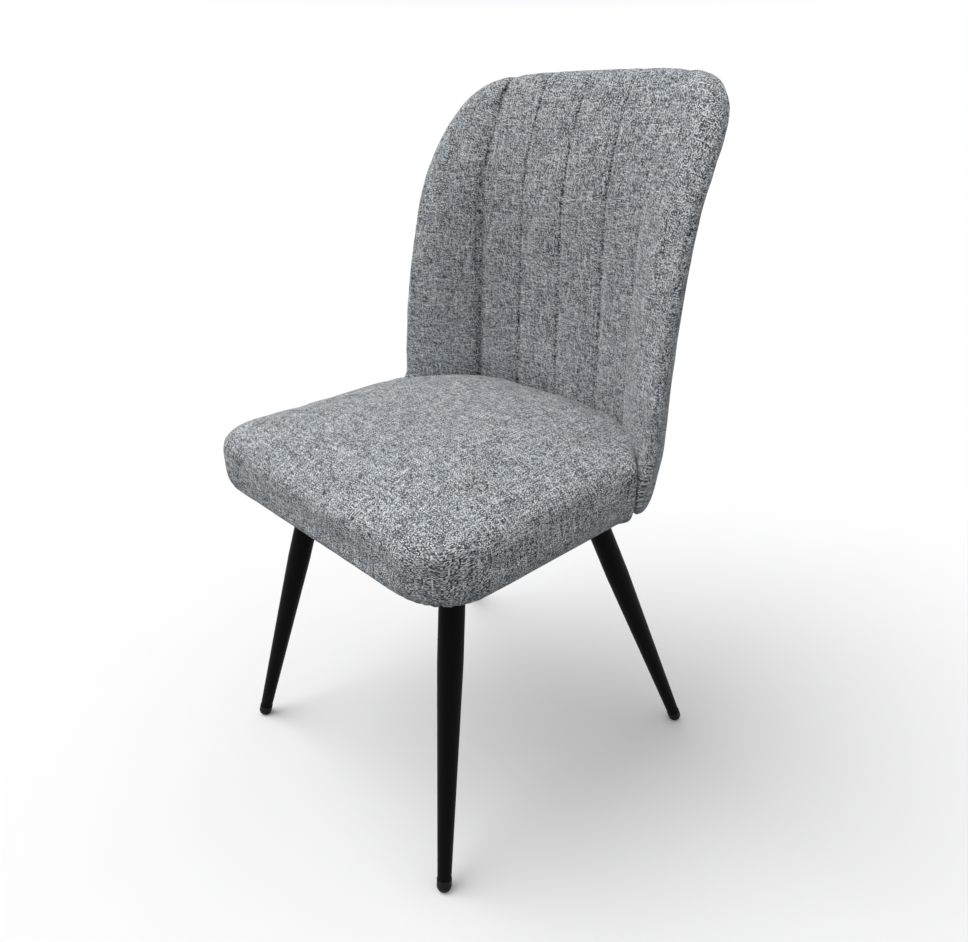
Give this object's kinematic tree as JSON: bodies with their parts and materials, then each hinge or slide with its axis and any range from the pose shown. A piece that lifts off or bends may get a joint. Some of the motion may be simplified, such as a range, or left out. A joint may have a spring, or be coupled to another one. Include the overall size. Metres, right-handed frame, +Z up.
{
  "type": "dining chair",
  "caption": "Upholstered dining chair with a padded seat, a channelled wrap-round back and splayed round tapered metal legs.",
  "frame": {"origin": "on the floor under the middle of the chair's outer box", "axes": "+Z up, the sitter faces -Y, +X is to the right of someone looking at the chair's front"},
  "size_m": [0.4948, 0.5099, 0.9181],
  "materials": {
    "melange_fabric": "matte blue-grey melange plain weave, linen look",
    "foam": "open-cell upholstery foam and wadding",
    "plywood": "sanded birch plywood",
    "dust_cloth": "black spun-bond non-woven",
    "black_steel": "satin black powder coat",
    "zinc_steel": "zinc-plated steel",
    "black_plastic": "moulded black plastic"
  },
  "bodies": {
    "root": {"seat_board": "plywood", "seat_t_nuts": "zinc_steel", "seat_foam": "foam", "seat_cover": "melange_fabric", "seat_dust_cloth": "dust_cloth", "seat_staples": "zinc_steel", "back_shell": "plywood", "back_t_nuts": "zinc_steel", "back_front_foam": "foam", "back_rear_wadding": "foam", "back_front_cover": "melange_fabric", "back_rear_cover": "melange_fabric", "back_bracket_left": "black_steel", "back_bracket_right": "black_steel", "bracket_seat_screws": "zinc_steel", "bracket_back_screws": "zinc_steel", "leg_front_left": "black_steel", "leg_plate_front_left": "black_steel", "foot_glide_front_left": "black_plastic", "leg_front_right": "black_steel", "leg_plate_front_right": "black_steel", "foot_glide_front_right": "black_plastic", "leg_rear_left": "black_steel", "leg_plate_rear_left": "black_steel", "foot_glide_rear_left": "black_plastic", "leg_rear_right": "black_steel", "leg_plate_rear_right": "black_steel", "foot_glide_rear_right": "black_plastic", "leg_screws": "zinc_steel", "leg_washers": "zinc_steel"}
  },
  "joints": []
}
